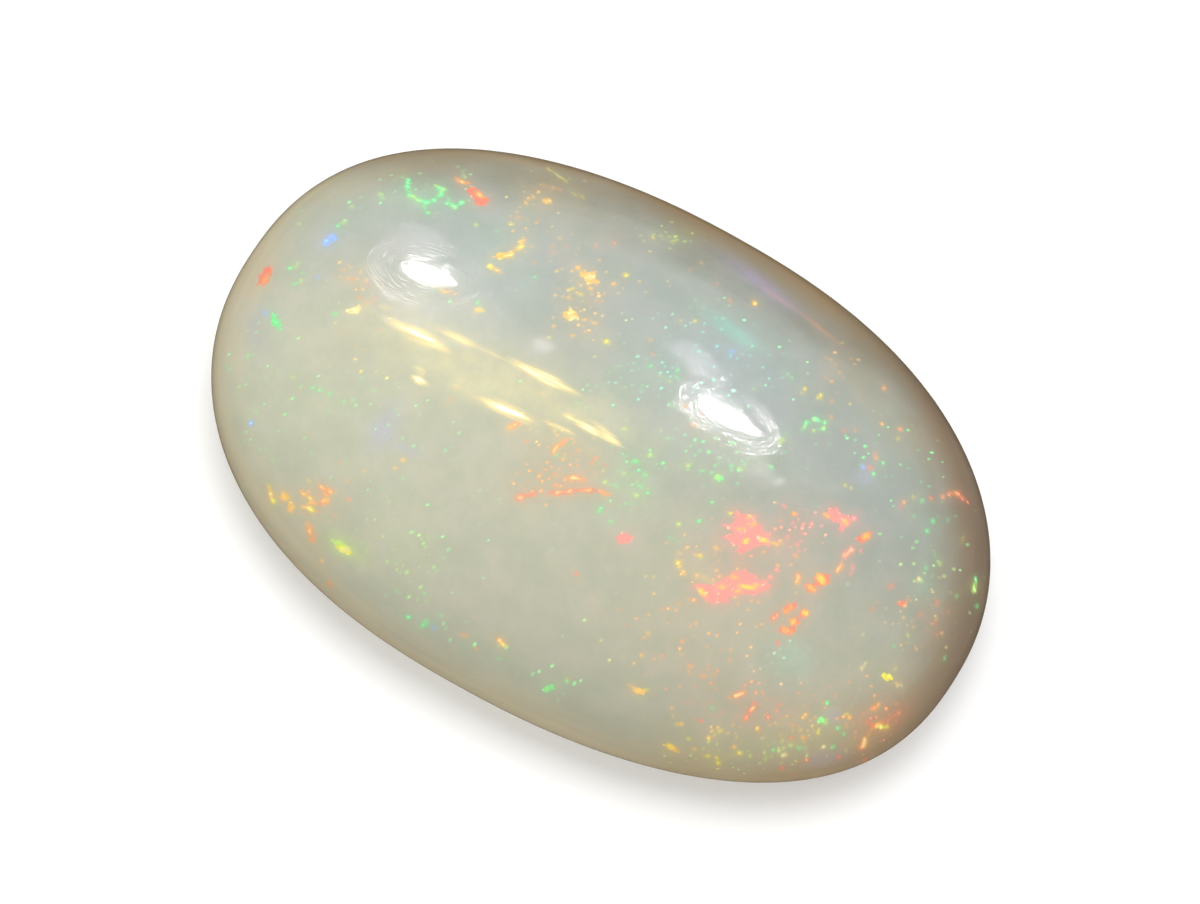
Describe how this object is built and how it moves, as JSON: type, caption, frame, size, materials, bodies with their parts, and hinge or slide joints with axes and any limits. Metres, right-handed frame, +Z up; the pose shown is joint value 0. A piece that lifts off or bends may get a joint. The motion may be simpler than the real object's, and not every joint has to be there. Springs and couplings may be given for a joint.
{
  "type": "polished opal cabochon",
  "caption": "Oval cabochon of polished white opal with many small flashes of colour, a high dome and a shallow back ground flat where it rests.",
  "frame": {"origin": "centre of the stone's footprint box, on the surface that it rests on", "axes": "+X along the stone's length, +Y across its width, +Z up through the crown of the dome"},
  "size_m": [0.022, 0.0142, 0.0076],
  "materials": {
    "opal": "high polish on a milky grey-white body full of small green, orange, yellow, blue and red flashes, with tan sides"
  },
  "bodies": {
    "root": {"opal_stone": "opal"}
  },
  "joints": []
}
